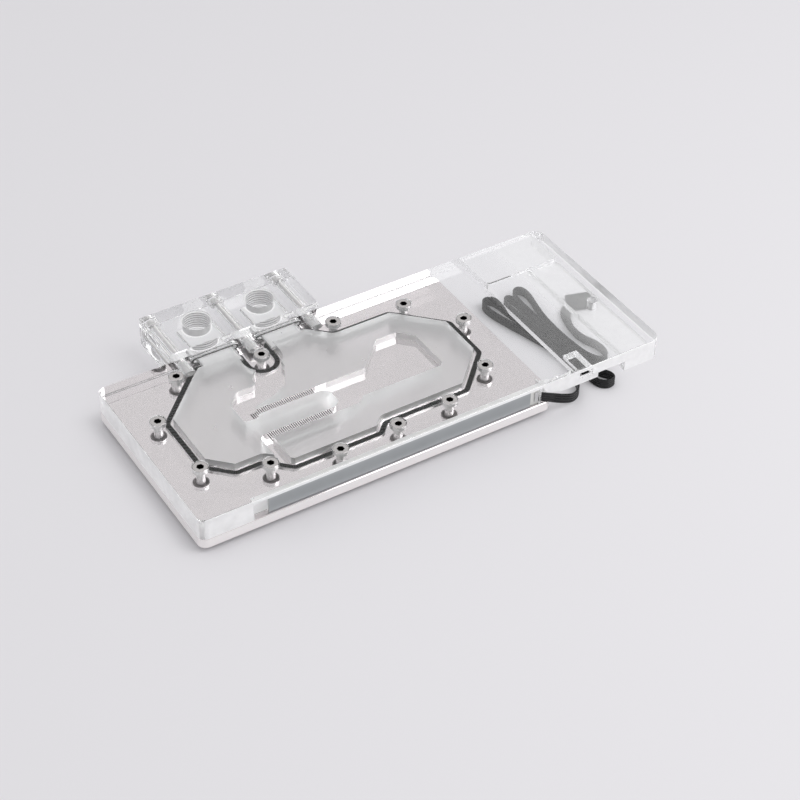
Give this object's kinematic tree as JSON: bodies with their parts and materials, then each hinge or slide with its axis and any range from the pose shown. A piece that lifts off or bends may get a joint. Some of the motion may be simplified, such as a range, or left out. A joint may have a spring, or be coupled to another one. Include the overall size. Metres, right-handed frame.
{
  "type": "gpu water block",
  "caption": "Full-cover graphics-card water block: plated cold plate under a clear milled cover, with a clear port block at the rear and a light strip with a ribbon cable along the front.",
  "frame": {"origin": "centre of the GPU contact face under the cold plate", "axes": "+X along the card towards the cover's extension, +Y towards the port block, +Z away from the card through the cover"},
  "size_m": [0.2437, 0.1354, 0.0229],
  "materials": {
    "nickel": "nickel-plated copper, bright, with fine machining marks",
    "acrylic": "clear cast acrylic, polished outside and milled inside",
    "steel": "bright stainless steel",
    "brass": "turned brass",
    "nickel_brass": "nickel-plated brass",
    "seal": "black nitrile rubber, smooth",
    "board": "white flexible circuit board",
    "tape": "grey adhesive backing tape",
    "chip": "white package with a yellowish lens",
    "resistor": "black film on ceramic",
    "solder": "dull tin solder",
    "cap": "clear silicone",
    "cable": "black PVC insulation, slightly glossy",
    "connector": "black moulded nylon"
  },
  "bodies": {
    "root": {"cold_plate": "nickel", "cover": "acrylic", "terminal_block": "acrylic", "cover_screws": "steel", "terminal_screws": "steel", "terminal_inserts": "nickel_brass", "perimeter_seal": "seal", "inlet_seal": "seal", "outlet_seal": "seal", "gpu_standoffs": "nickel_brass", "board_standoffs": "nickel_brass", "light_board": "board", "light_tape": "tape", "light_chips": "chip", "light_resistors": "resistor", "solder_joints": "solder", "strip_end_cap": "cap", "cable_lead": "cable", "cable_hank": "cable", "cable_tail": "cable", "cable_connector": "connector", "connector_contacts": "brass"}
  },
  "joints": []
}
